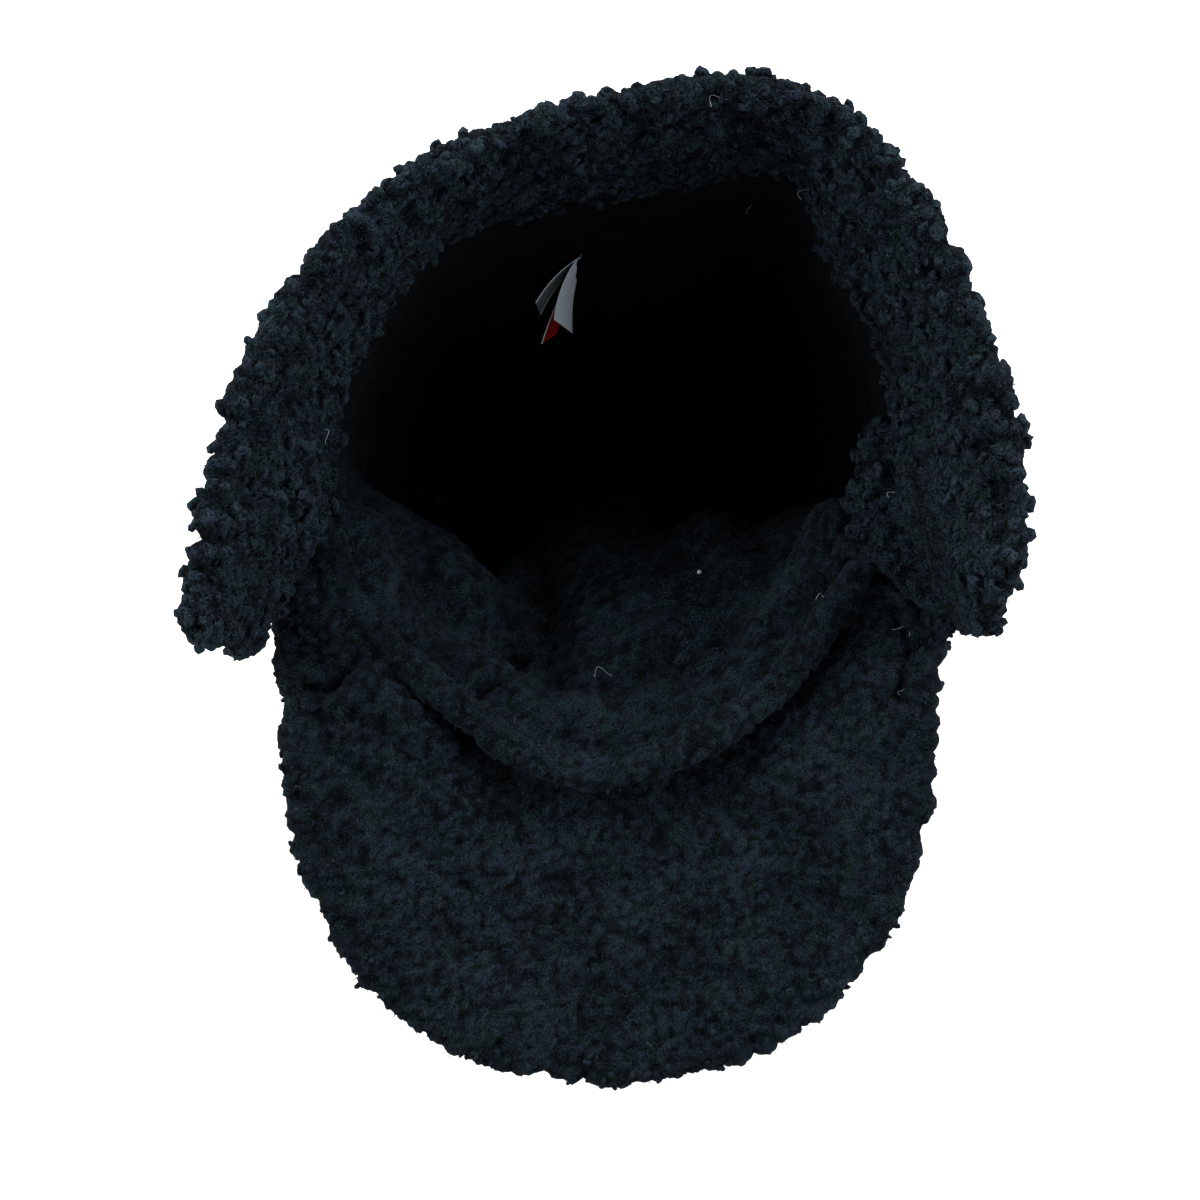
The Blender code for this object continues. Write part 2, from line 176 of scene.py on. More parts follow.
class CapFleece(PropertyGroup):
    """Sizes of the fleece."""

    cell: length_setting("Cell", "Size of a surface cell", 1.1 * MM)
    curl_size: length_setting("Curl size", "Width of one curl", 5.7 * MM)
    curl_height: length_setting("Curl height", "Height of one curl", 3.2 * MM)
    curl_tube: length_setting("Curl strand", "Width of its strand", 2.5 * MM)
    tuft_size: length_setting("Tuft size", "Width of a short tuft", 2.6 * MM)
    tuft_height: length_setting("Tuft height", "Height of a tuft", 1.5 * MM)
    dent_size: length_setting("Dent size", "Width of a soft dent", 13 * MM)
    dent_depth: length_setting("Dent depth", "Depth of a dent", 4.5 * MM)
    fibre_length: length_setting("Fibre", "Length of a loose fibre", 2.6 * MM)
    fibre_width: length_setting("Fibre width", "Width of a fibre", 0.2 * MM)
    seed: IntProperty(name="Seed", description="Seed of the scattering", default=7)


class CapColours(PropertyGroup):
    """Colours of the cloth."""

    # Painted shade and highlight: the first colour is painted shade between the curls; the next two are the
    # pile's own colour, lightened by a painted highlight on the curls' tips.
    painted_gap_shade: colour_setting("Deep pile", "Between the curls", (0.0007, 0.0010, 0.0013))
    tip_colour_and_highlight: colour_setting("Pile tips", "On top of the curls", (0.0115, 0.0180, 0.0285))
    tint: colour_setting("Tinted tips", "Tips of the greener curls", (0.0105, 0.0215, 0.0240))
    pale: colour_setting("Pale label", "Pale label cloth", (0.72, 0.82, 0.92))
    # Painted shade: the pale label cloth darkened to stand for the shade it lies in.
    grey: colour_setting("Pale label in painted shade", "Label cloth seen in its shade", (0.11, 0.14, 0.14))
    red: colour_setting("Red label", "Red label cloth", (0.34, 0.015, 0.008))
    floor: colour_setting("Floor", "Pale floor", (0.86, 0.86, 0.86))


class Socket:
    """An output socket that takes part in sums: an expression on it adds the Math nodes."""

    def __init__(self, sheet, socket):
        self.sheet = sheet
        self.socket = socket

    def other(self, name):
        return Socket(self.sheet, self.socket.node.outputs[name])

    def math(self, operation, *others):
        kind = "ShaderNodeMath"
        inputs = {n: v for n, v in enumerate((self, *others))}
        return self.sheet.add(kind, inputs, operation=operation)

    def __add__(self, other):
        return self.math("ADD", other)

    def __radd__(self, other):
        return self.math("ADD", other)

    def __sub__(self, other):
        return self.math("SUBTRACT", other)

    def __rsub__(self, other):
        return (self * -1.0).math("ADD", other)

    def __mul__(self, other):
        return self.math("MULTIPLY", other)

    def __rmul__(self, other):
        return self.math("MULTIPLY", other)

    def __pow__(self, other):
        return self.math("POWER", other)

    def clamped(self):
        return self.math("MAXIMUM", 0.0).math("MINIMUM", 1.0)


class Sheet:
    """A node tree, for a material or for geometry, that is filled through one method."""

    def __init__(self, tree):
        self.tree = tree

    def add(self, kind, inputs=None, output=0, **settings):
        """A node with its settings, then the values or links of its inputs. Returns one of its outputs."""
        node = self.tree.nodes.new(kind)
        for name, value in settings.items():
            setattr(node, name, value)
        for name, value in (inputs or {}).items():
            socket = node.inputs[name]
            if isinstance(value, Socket):
                self.tree.links.new(value.socket, socket)
            else:
                socket.default_value = value
        return Socket(self, node.outputs[output]) if len(node.outputs) else node


class GeometrySheet(Sheet):
    """A geometry tree with named inputs."""

    def __init__(self, name, **inputs):
        super().__init__(bpy.data.node_groups.new(name, "GeometryNodeTree"))
        interface = self.tree.interface
        interface.new_socket("Geometry", in_out="INPUT", socket_type="NodeSocketGeometry")
        interface.new_socket("Geometry", in_out="OUTPUT", socket_type="NodeSocketGeometry")
        self.identifiers = {}
        for label, value in inputs.items():
            kinds = {int: "NodeSocketInt", float: "NodeSocketFloat"}
            kind = kinds.get(type(value), "NodeSocketMaterial")
            socket = interface.new_socket(label, in_out="INPUT", socket_type=kind)
            self.identifiers[label] = (socket.identifier, value)
        self.start = self.add("NodeGroupInput")

    def given(self, label):
        return self.start.other(label)

    def number(self, name):
        """The number that the surface's points keep under this name."""
        kind = "GeometryNodeInputNamedAttribute"
        return self.add(kind, {"Name": name}, output="Attribute", data_type="FLOAT")

    def scaled(self, vector, factor):
        return self.add("ShaderNodeVectorMath", {0: vector, "Scale": factor}, operation="SCALE")

    def wander(self, place, scale, reach):
        """A smooth random step in some direction, about as long as reach at most."""
        inputs = {"Vector": place, "Scale": scale, "Detail": 1.0}
        noise = self.add("ShaderNodeTexNoise", inputs, output="Color")
        middle = self.add("ShaderNodeVectorMath", {0: noise, 1: (0.5, 0.5, 0.5)}, operation="SUBTRACT")
        return self.scaled(middle, reach)

    def keep(self, geometry, name, value, domain="POINT"):
        """Keeps a number for each point, or for each instance."""
        inputs = {"Geometry": geometry, "Name": name, "Value": value}
        return self.add("GeometryNodeStoreNamedAttribute", inputs, data_type="FLOAT", domain=domain)

    def random(self, low, high, place):
        """A different number for each scattered shape."""
        node = self.add("FunctionNodeRandomValue", output=1, data_type="FLOAT")
        inputs = node.socket.node.inputs
        inputs[2].default_value = low
        inputs[3].default_value = high
        self.tree.links.new((self.given("Seed") + float(place)).socket, inputs["Seed"])
        return node

    def scatter(self, shape, points, where, turn, size):
        """The shape on each point of 'where', turned off the surface's normal at 'points'."""
        own = self.add("FunctionNodeEulerToRotation", {0: turn})
        inputs = {"Rotation": own, "Rotate By": points.other("Rotation")}
        upright = self.add("FunctionNodeRotateRotation", inputs, rotation_space="GLOBAL")
        inputs = {"Points": where, "Instance": shape, "Rotation": upright, "Scale": size}
        return self.add("GeometryNodeInstanceOnPoints", inputs)

    def finish(self, geometry):
        """Ends the tree in real geometry with its material."""
        real = self.add("GeometryNodeRealizeInstances", {0: geometry})
        dressed = self.add("GeometryNodeSetMaterial", {"Geometry": real, "Material": self.given("Material")})
        self.add("NodeGroupOutput", {0: dressed})

    def apply_to(self, piece):
        """Runs the tree on a piece and keeps the result as its mesh."""
        modifier = piece.modifiers.new("made", "NODES")
        modifier.node_group = self.tree
        for identifier, value in self.identifiers.values():
            modifier[identifier] = value
        keep_modifiers(piece)


def keep_modifiers(piece):
    """Turns what the modifiers make into the piece's own mesh."""
    seen = piece.evaluated_get(bpy.context.evaluated_depsgraph_get())
    mesh = bpy.data.meshes.new_from_object(seen)
    old = piece.data
    piece.modifiers.clear()
    piece.data = mesh
    mesh.name = piece.name
    bpy.data.meshes.remove(old)


def new_piece(name, mesh):
    piece = bpy.data.objects.new(name, mesh)
    bpy.context.scene.collection.objects.link(piece)
    return piece


def from_opening(u, v, w):
    """A place in the scene from its millimetres right, back and out of the middle of the opening."""
    sine, cosine = math.sin(OPENING_TILT), math.cos(OPENING_TILT)
    return Vector((u * MM, (v * cosine - w * sine) * MM, OPENING_HEIGHT + (v * sine + w * cosine) * MM))


def add_rolls(form, node):
    """Joins the rolls of cloth of one piece to its form, as rows of balls that the cells melt together."""
    for roll in ROLLS:
        if roll.piece != node:
            continue
        for first, last in zip(roll.points, roll.points[1:]):
            start, end = from_opening(*first), from_opening(*last)
            steps = max(2, round((end - start).length / (roll.radius * MM * 0.3)))
            for n in range(steps + 1):
                ball = bmesh.ops.create_icosphere(form, subdivisions=2, radius=roll.radius * MM)
                bmesh.ops.translate(form, verts=ball["verts"], vec=start.lerp(end, n / steps))


def soft_copy(node, name, cell, rounds=5):
    """A closed copy of a solid in small even cells, with its rolls added and its facets smoothed away."""
    form = bmesh.new()
    form.from_mesh(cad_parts[node].data)
    form.transform(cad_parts[node].matrix_world)
    bmesh.ops.remove_doubles(form, verts=form.verts, dist=0.01 * MM)
    add_rolls(form, node)
    mesh = bpy.data.meshes.new(name)
    form.to_mesh(mesh)
    form.free()
    mesh.materials.clear()
    piece = new_piece(name, mesh)
    rounder = piece.modifiers.new("rounder", "SUBSURF")
    rounder.levels = rounder.render_levels = 1
    cells = piece.modifiers.new("cells", "REMESH")
    cells.mode = "VOXEL"
    cells.voxel_size = cell
    ease = piece.modifiers.new("ease", "SMOOTH")
    ease.iterations = rounds
    keep_modifiers(piece)
    return piece


def points_of(mesh):
    """The mesh's points and their normals, as arrays."""
    points = np.empty(len(mesh.vertices) * 3)
    normals = np.empty(len(mesh.vertices) * 3)
    mesh.vertices.foreach_get("co", points)
    mesh.vertex_normals.foreach_get("vector", normals)
    return points.reshape(-1, 3), normals.reshape(-1, 3)


def seen_through_opening(points):
    """Places of points as u, v and depth w of the cap's opening, in millimetres."""
    sine, cosine = math.sin(OPENING_TILT), math.cos(OPENING_TILT)
    height = points[:, 2] - OPENING_HEIGHT
    v = points[:, 1] * cosine + height * sine
    w = height * cosine - points[:, 1] * sine
    return points[:, 0] / MM, v / MM, w / MM


def fold_cloth(piece, name):
    """Presses the creases and swellings of one piece into its upper side."""
    mesh = piece.data
    points, normals = points_of(mesh)
    u, v, _ = seen_through_opening(points)
    facing = np.clip(normals[:, 2] * 2.0, 0.0, 1.0)
    for fold in FOLDS:
        if fold.piece != name:
            continue
        nearest = np.full(len(u), 1e9)
        for (u0, v0), (u1, v1) in zip(fold.points, fold.points[1:]):
            du, dv = u1 - u0, v1 - v0
            share = np.clip(((u - u0) * du + (v - v0) * dv) / (du * du + dv * dv), 0.0, 1.0)
            nearest = np.minimum(nearest, np.hypot(u - u0 - share * du, v - v0 - share * dv))
        lift = fold.height * MM * np.exp(-((nearest / (fold.width * 0.6)) ** 2)) * facing
        points += normals * lift[:, None]
    mesh.vertices.foreach_set("co", points.ravel())
    mesh.update()


def painted_depth_shade(piece):
    """Painted shade for the lining: 1 on the folds at the front, falling to LINING_SHADE on the back wall and
    far down in the hollow.
    """
    points, _ = points_of(piece.data)
    _, v, w = seen_through_opening(points)
    return 1.0 - (1.0 - LINING_SHADE) * smooth_step(np.maximum((v + 12) / 40, (-w - 30) / 40))


def mark(mesh, name, values):
    """Keeps one number for each point of the mesh."""
    attribute = mesh.attributes.new(name, "FLOAT", "POINT")
    attribute.data.foreach_set("value", np.asarray(values, np.float32))


def relief_tree(sizes, material):
    """Raises curls, tufts and dents: 'curly' says how much of each, and 'pile' keeps their height, which the
    fleece's colour turns into painted shade between them and a painted highlight on top.
    """
    sheet = GeometrySheet(
        "fleece_relief",
        CurlSize=sizes.curl_size,
        CurlHeight=sizes.curl_height,
        TuftSize=sizes.tuft_size,
        TuftHeight=sizes.tuft_height,
        DentSize=sizes.dent_size,
        DentDepth=sizes.dent_depth,
        Material=material,
    )
    place = sheet.add("GeometryNodeInputPosition")
    normal = sheet.add("GeometryNodeInputNormal")
    curly = sheet.number("curly")

    def lumps(size, wander):
        """Rounded lumps of about this size, 0 between them and 1 on top."""
        scale = sheet.add("ShaderNodeMath", {0: 1.0, 1: size}, operation="DIVIDE")
        moved = sheet.wander(place, scale * 0.8, size * wander)
        warped = sheet.add("ShaderNodeVectorMath", {0: place, 1: moved}, operation="ADD")
        cell = sheet.add("ShaderNodeTexVoronoi", {"Vector": warped, "Scale": scale}, output="Distance")
        return (1.0 - (cell * 1.2) ** 2.0).clamped()

    curls = lumps(sheet.given("CurlSize"), 1.1)
    tufts = lumps(sheet.given("TuftSize"), 0.9)
    high = (curls - 0.45) * sheet.given("CurlHeight") * curly
    low = (tufts - 0.4) * sheet.given("TuftHeight")
    dent_scale = sheet.add("ShaderNodeMath", {0: 1.0, 1: sheet.given("DentSize")}, operation="DIVIDE")
    waves = sheet.add("ShaderNodeTexNoise", {"Vector": place, "Scale": dent_scale, "Detail": 1.5})
    dents = (waves - 0.5) * sheet.given("DentDepth")
    offset = sheet.scaled(normal, high + low + dents)
    ground = sheet.given("Geometry")
    raised = sheet.add("GeometryNodeSetPosition", {"Geometry": ground, "Offset": offset})
    # Painted shade and highlight: the lumps' height, kept as the pile number, lightens their tops and darkens
    # the gaps between them in the colour.
    pile = (curls * curly * 0.6 + tufts * (1.0 - curly * 0.55)).clamped()
    sheet.finish(sheet.keep(raised, "pile", pile))
    return sheet


def curl_tree(sizes, material, spacing, sides, seed, share=1.0):
    """Scatters small coils of pile over a surface, as many as 'where' says."""
    sheet = GeometrySheet(
        "curls",
        Spacing=spacing,
        Size=sizes.curl_size * share,
        Strand=sizes.curl_tube * share,
        Seed=sizes.seed + seed,
        Material=material,
    )
    size = sheet.given("Size")
    coil = sheet.add(
        "GeometryNodeCurveSpiral",
        {"Resolution": 7, "Rotations": 1.15, "Start Radius": size * 0.1, "End Radius": size * 0.27,
         "Height": size * 0.42},
    )
    along = sheet.add("GeometryNodeSplineParameter", output="Factor")
    strand = sheet.add(
        "GeometryNodeSetCurveRadius", {"Curve": coil, "Radius": 1.0 - (along * 2.0 - 1.0) ** 2.0 * 0.7}
    )
    thickness = sheet.given("Strand") * 0.5
    ring = sheet.add("GeometryNodeCurvePrimitiveCircle", {"Resolution": sides, "Radius": thickness})
    tube = sheet.add("GeometryNodeCurveToMesh", {"Curve": strand, "Profile Curve": ring, "Fill Caps": True})
    # Painted shade and highlight: each coil keeps a pile number that rises with its height, so its foot is
    # painted darker and its top lighter.
    spot = sheet.add("GeometryNodeInputPosition")
    height = sheet.add("ShaderNodeSeparateXYZ", {0: spot}, output="Z")
    level = sheet.add("ShaderNodeMath", {0: height, 1: size * 0.4}, operation="DIVIDE")
    shaded = sheet.keep(tube, "pile", (level * 0.9 + 0.15).clamped())
    where = sheet.number("where")
    points = sheet.add(
        "GeometryNodeDistributePointsOnFaces",
        {"Mesh": sheet.given("Geometry"), "Distance Min": sheet.given("Spacing"), "Density Max": 160000.0,
         "Density Factor": where, "Seed": sheet.given("Seed")},
        output="Points",
        distribute_method="POISSON",
    )
    down = sheet.scaled(points.other("Normal"), size * -CURL_SINK)
    sunk = sheet.add("GeometryNodeSetPosition", {"Geometry": points, "Offset": down})
    turn = sheet.add(
        "ShaderNodeCombineXYZ",
        {"X": sheet.random(-CURL_TILT, CURL_TILT, 1), "Y": sheet.random(-CURL_TILT, CURL_TILT, 2),
         "Z": sheet.random(0.0, math.tau, 3)},
    )
    curls = sheet.scatter(shaded, points, sunk, turn, sheet.random(0.7, 1.15, 4))
    real = sheet.add("GeometryNodeRealizeInstances", {0: curls})
    moved = sheet.wander(spot, 1.0 / (0.35 * sizes.curl_size), size * 0.25)
    sheet.finish(sheet.add("GeometryNodeSetPosition", {"Geometry": real, "Offset": moved}))
    return sheet


def fibre_tree(sizes, material, density, curl, longer=1.0, seed=0):
    """Scatters small bent fibres over a surface."""
    sheet = GeometrySheet(
        "loose_fibres",
        Density=density,
        Length=sizes.fibre_length * longer,
        Width=sizes.fibre_width,
        Curl=curl,
        Seed=sizes.seed + seed,
        Material=material,
    )
    # One fibre: a narrow strip that bends over as it rises.
    strip = sheet.add(
        "GeometryNodeMeshGrid",
        {"Size X": sheet.given("Width"), "Size Y": 1.0, "Vertices X": 2, "Vertices Y": 4},
        output="Mesh",
    )
    spot = sheet.add("GeometryNodeInputPosition")
    parts = sheet.add("ShaderNodeSeparateXYZ", {0: spot}, output="Y")
    along = parts + 0.5
    angle = along * sheet.given("Curl")
    taper = parts.other("X") * (1.0 - along * 0.7)
    out = sheet.add("ShaderNodeMath", {0: angle}, operation="COSINE")
    up = sheet.add("ShaderNodeMath", {0: angle}, operation="SINE")
    reach = (1.0 - out) * sheet.add("ShaderNodeMath", {0: 1.0, 1: sheet.given("Curl")}, operation="DIVIDE")
    rise = up * sheet.add("ShaderNodeMath", {0: 1.0, 1: sheet.given("Curl")}, operation="DIVIDE")
    length = sheet.given("Length")
    bent = sheet.add("ShaderNodeCombineXYZ", {"X": taper, "Y": reach * length, "Z": rise * length})
    fibre = sheet.add("GeometryNodeSetPosition", {"Geometry": strip, "Position": bent})
    ground = sheet.given("Geometry")
    where = sheet.number("where")
    points = sheet.add(
        "GeometryNodeDistributePointsOnFaces",
        {"Mesh": ground, "Density": sheet.given("Density") * where, "Seed": sheet.given("Seed")},
        output="Points",
        distribute_method="RANDOM",
    )
    spin = sheet.random(0.0, math.tau, 1)
    lean = sheet.random(-0.9, 0.9, 2)
    turn = sheet.add("ShaderNodeCombineXYZ", {"X": lean, "Y": 0.0, "Z": spin})
    placed = sheet.scatter(fibre, points, points, turn, sheet.random(0.45, 1.15, 3))
    sheet.finish(sheet.keep(placed, "pile", sheet.random(0.2, 1.5, 4), "INSTANCE"))
    return sheet


def cloth_material(name, roughness, sheen, sheen_tint):
    """A fleece or cloth shader with its constant settings, and its sheet of nodes."""
    material = bpy.data.materials.new(name)
    material.use_nodes = True
    sheet = Sheet(material.node_tree)
    shader = material.node_tree.nodes["Principled BSDF"]
    shader.inputs["Roughness"].default_value = roughness
    shader.inputs["Specular IOR Level"].default_value = 0.03
    shader.inputs["Sheen Weight"].default_value = sheen
    shader.inputs["Sheen Roughness"].default_value = 0.45
    shader.inputs["Sheen Tint"].default_value = (*sheen_tint, 1.0)
    return material, sheet, shader


def fleece_material(name, colours, grain, patch):
    """Black pile: painted shade makes it nearly black between the curls and a painted highlight makes it
    greyer on their tips, with fine fibres across it.
    """
    material, sheet, shader = cloth_material(name, 0.95, 0.006, (0.62, 0.78, 0.95))
    place = sheet.add("ShaderNodeTexCoord", output="Object")
    pile = sheet.add("ShaderNodeAttribute", output="Fac", attribute_name="pile")
    tone = sheet.add("ShaderNodeAttribute", output="Fac", attribute_name="tone")
    fibres = sheet.add(
        "ShaderNodeTexNoise", {"Vector": place, "Scale": 1.0 / grain, "Detail": 4.0, "Distortion": 2.2}
    )
    worn = sheet.add("ShaderNodeTexNoise", {"Vector": place, "Scale": 1.0 / patch, "Detail": 2.0})
    # Painted shade and highlight: the pile number darkens the gaps between the curls and lightens their tops
    # in the colour; on the loose fibres it is a random tone.
    bright = pile * PILE_SHADE_AND_TONE_SHARE + (fibres - 0.5) * FIBRE_CONTRAST + (worn - 0.5) * PATCH_CONTRAST - SHADE_FLOOR
    # Painted shade: the lining's shade in the hollow is multiplied into the colour here; elsewhere the factor
    # is 1.
    shade = bright.clamped() ** 2.0 * tone
    lock = sheet.add("ShaderNodeTexNoise", {"Vector": place, "Scale": 1.0 / LOCK_SIZE, "Detail": 1.0})
    tips = mixed(sheet, ((lock - 0.5) * 3.0 + 0.35).clamped(), colours.tip_colour_and_highlight, colours.tint)
    colour = mixed(sheet, shade, colours.painted_gap_shade, tips)
    link(sheet, colour, shader.inputs["Base Color"])
    bump = sheet.add("ShaderNodeBump", {"Strength": 0.7, "Distance": 0.5 * MM, "Height": fibres})
    link(sheet, bump, shader.inputs["Normal"])
    return material


def mixed(sheet, share, low, high):
    """A colour between two others."""
    node = sheet.add("ShaderNodeMix", output=2, data_type="RGBA")
    inputs = node.socket.node.inputs
    link(sheet, share, inputs[0])
    for socket, end in ((inputs[6], low), (inputs[7], high)):
        if isinstance(end, Socket):
            link(sheet, end, socket)
        else:
            socket.default_value = (*end, 1.0)
    return node


def link(sheet, value, socket):
    sheet.tree.links.new(value.socket, socket)


def label_material(name, colour):
    """Satin label cloth with a fine weave."""
    material, sheet, shader = cloth_material(name, 0.6, 0.0, (1.0, 1.0, 1.0))
    place = sheet.add("ShaderNodeTexCoord", output="Object")
    weave = sheet.add("ShaderNodeTexNoise", {"Vector": place, "Scale": 2600.0, "Detail": 1.0})
    tint = mixed(sheet, weave, [c * 0.8 for c in colour], colour)
    link(sheet, tint, shader.inputs["Base Color"])
    bump = sheet.add("ShaderNodeBump", {"Strength": 0.3, "Distance": 0.05 * MM, "Height": weave})
    link(sheet, bump, shader.inputs["Normal"])
    return material


def smooth_step(x):
    x = np.clip(x, 0.0, 1.0)
    return x * x * (3.0 - 2.0 * x)


def finish_piece(piece, slot, *nodes):
    """Smooth shading, nothing below the floor, its body and the solids that it stands for; the slot is not
    used.
    """
    if not piece.data.polygons:
        raise RuntimeError(f"nothing was made for {piece.name}")
    places = np.empty(len(piece.data.vertices) * 3)
    piece.data.vertices.foreach_get("co", places)
    places[2::3] = np.maximum(places[2::3], 0.0)
    piece.data.vertices.foreach_set("co", places)
    piece.data.update()
    piece.data.shade_smooth()
    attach(piece, "root")
    if nodes:
        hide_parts(*nodes)


def scatter_on(piece, name, sheet, slot, where):
    """What a tree scatters on a piece, as a piece of its own. 'where' is its share at each of the points."""
    scattering = new_piece(name, piece.data.copy())
    mark(scattering.data, "where", where)
    sheet.apply_to(scattering)
    material = scattering.data.materials[-1]
    scattering.data.materials.clear()
    scattering.data.materials.append(material)
    finish_piece(scattering, slot)


def seen_side(piece):
    """1 where the surface faces up or the middle of the opening, and 0 where it faces outwards or down."""
    points, normals = points_of(piece.data)
    u, v, _ = seen_through_opening(points)
    inwards = -(u * normals[:, 0] + v * normals[:, 1]) / np.maximum(np.hypot(u, v), 1.0)
    return smooth_step((np.maximum(inwards, normals[:, 2]) + 0.15) * 4.0)


def near_rim(piece):
    """1 along the peak's free edge, falling to 0 further in."""
    points, _ = points_of(piece.data)
    u, v, _ = seen_through_opening(points)
    aside = np.abs((u - RIM_ASIDE) / RIM_HALF_WIDTH)
    forward = np.maximum((RIM_START - v) / RIM_LENGTH, 0.0)
    return smooth_step((aside**RIM_ROUNDNESS + forward**RIM_ROUNDNESS - 0.70) / 0.25) * (v < RIM_START / 2)


class CAP_OT_earflap_band(Operator):
    """Make the curly band over ears and nape"""

    bl_idname = "cap.earflap_band"
    bl_label = "Earflap band"

    def execute(self, context):
        sizes, colours = context.scene.cap_fleece, context.scene.cap_colours
        material = fleece_material("band_fleece", colours, grain=1.0 * MM, patch=14 * MM)
        band = soft_copy("earflap_band", "earflap_band_fleece", sizes.cell)
        points, _ = points_of(band.data)
        u, v, w = seen_through_opening(points)
        smooth_end = smooth_step((u - 62) / 26) * smooth_step((28 - v) / 30) * smooth_step((50 - w) / 30)
        curly = 1.0 - 0.85 * smooth_end
        mark(band.data, "curly", curly)
        mark(band.data, "tone", np.ones(len(curly)))
        relief_tree(sizes, material).apply_to(band)
        finish_piece(band, "curly_fleece", "earflap_band")
        seen = seen_side(band)
        coils = curl_tree(sizes, material, spacing=3.9 * MM, sides=5, seed=1)
        scatter_on(band, "earflap_band_curls", coils, "curly_fleece", seen * (curly > 0.5))
        coils = curl_tree(sizes, material, spacing=4.6 * MM, sides=4, seed=2)
        scatter_on(band, "earflap_band_back_curls", coils, "curly_fleece", (1.0 - seen) * (curly > 0.5))
        fibres = fibre_tree(sizes, material, density=450000.0, curl=2.6)
        scatter_on(band, "earflap_band_pile", fibres, "curly_fleece", 0.3 + 0.7 * seen)
        return {"FINISHED"}


class CAP_OT_crown(Operator):
    """Make the curly outside and the smooth lining of the crown"""

    bl_idname = "cap.crown"
    bl_label = "Crown"

    def execute(self, context):
        sizes, colours = context.scene.cap_fleece, context.scene.cap_colours
        curly = fleece_material("crown_fleece", colours, grain=1.0 * MM, patch=14 * MM)
        shell = soft_copy("crown_shell", "crown_shell_fleece", sizes.cell * 2.2)
        points, normals = points_of(shell.data)
        rise = smooth_step(points[:, 2] / (4 * MM))
        mark(shell.data, "curly", rise * 0.9)
        mark(shell.data, "tone", np.ones(len(rise)))
        relief_tree(sizes, curly).apply_to(shell)
        finish_piece(shell, "curly_fleece", "crown_shell")
        outside = smooth_step((points[:, 0] * normals[:, 0] + points[:, 1] * normals[:, 1]) / (20 * MM))
        coils = curl_tree(sizes, curly, spacing=5.8 * MM, sides=4, seed=3)
        scatter_on(shell, "crown_shell_curls", coils, "curly_fleece", outside * (rise > 0.9))
        smooth = fleece_material("lining_fleece", colours, grain=0.55 * MM, patch=22 * MM)
        lining = soft_copy("crown_lining", "crown_lining_fleece", sizes.cell * 1.6, rounds=18)
        fold_cloth(lining, "crown_lining")
        mark(lining.data, "curly", np.zeros(len(lining.data.vertices)))
        # Painted shade: the lining's colour darkens towards the back wall and down in the hollow.
        mark(lining.data, "tone", painted_depth_shade(lining))
        relief_tree(sizes, smooth).apply_to(lining)
        finish_piece(lining, "short_fleece", "crown_lining")
        fibres = fibre_tree(sizes, smooth, density=100000.0, curl=1.4, longer=0.7, seed=5)
        scatter_on(lining, "crown_lining_pile", fibres, "short_fleece", seen_side(lining))
        return {"FINISHED"}


class CAP_OT_peak(Operator):
    """Make the padded peak and the roll along the brow"""

    bl_idname = "cap.peak"
    bl_label = "Peak and brow roll"

    def execute(self, context):
        sizes, colours = context.scene.cap_fleece, context.scene.cap_colours
        material = fleece_material("peak_fleece", colours, grain=0.55 * MM, patch=22 * MM)
        for node in ("peak", "brow_roll"):
            piece = soft_copy(node, node + "_fleece", sizes.cell, rounds=16)
            fold_cloth(piece, node)
            shaggy = near_rim(piece)
            mark(piece.data, "curly", 0.12 + 0.6 * shaggy)
            mark(piece.data, "tone", np.ones(len(shaggy)))
            relief_tree(sizes, material).apply_to(piece)
            finish_piece(piece, "short_fleece", node)
            if node == "peak":
                coils = curl_tree(sizes, material, spacing=3.0 * MM, sides=4, seed=4, share=0.55)
                scatter_on(piece, "peak_curls", coils, "short_fleece", shaggy * 0.7)
            fibres = fibre_tree(sizes, material, density=320000.0, curl=1.5, longer=0.8, seed=6)
            scatter_on(piece, node + "_pile", fibres, "short_fleece", seen_side(piece))
        return {"FINISHED"}


def label_mesh(row):
    """A curved strip of label cloth, sewn in edge on and turned towards the viewer at its end."""
    start, end = np.array(row.start, float), np.array(row.end, float)
    along = end - start
    side = np.array([along[1], -along[0], 0.0]) / np.hypot(along[0], along[1])
    mesh = bpy.data.meshes.new(row.node + "_cloth")
    columns = (0.0, LABEL_HEM / LABEL_WIDTH, 1.0 - LABEL_HEM / LABEL_WIDTH, 1.0)
    places = []
    for share in np.linspace(0.0, 1.0, LABEL_ROWS):
        middle = start + along * share + side * row.bow * 4 * share * (1 - share)
        turn = np.array([*row.turned, 0.0]) * share**LABEL_TURN_POWER
        across = turn - np.array([0.0, 0.0, math.sqrt(1.0 - turn @ turn)])
        places += [from_opening(*(middle + across * LABEL_WIDTH * (c - 0.5))) for c in columns]
    count = len(columns)
    faces = [
        (r * count + c, r * count + c + 1, (r + 1) * count + c + 1, (r + 1) * count + c)
        for r in range(LABEL_ROWS - 1)
        for c in range(count - 1)
    ]
    mesh.from_pydata(places, [], faces)
    return mesh


class CAP_OT_labels(Operator):
    """Make the three blank labels at the back of the lining"""

    bl_idname = "cap.labels"
    bl_label = "Labels"

    def execute(self, context):
        colours = context.scene.cap_colours
        names = ("pale", "grey", "red")
        cloths = {name: label_material("label_" + name, getattr(colours, name)) for name in names}
        for row in LABELS:
            mesh = label_mesh(row)
            kinds = sorted(set(row.cloths))
            for name in kinds:
                mesh.materials.append(cloths[name])
            for face in mesh.polygons:
                face.material_index = kinds.index(row.cloths[face.index % len(row.cloths)])
            piece = new_piece(row.node + "_cloth", mesh)
            finish_piece(piece, "label_cloth_red" if "red" in kinds else "label_cloth_white", row.node)
        return {"FINISHED"}


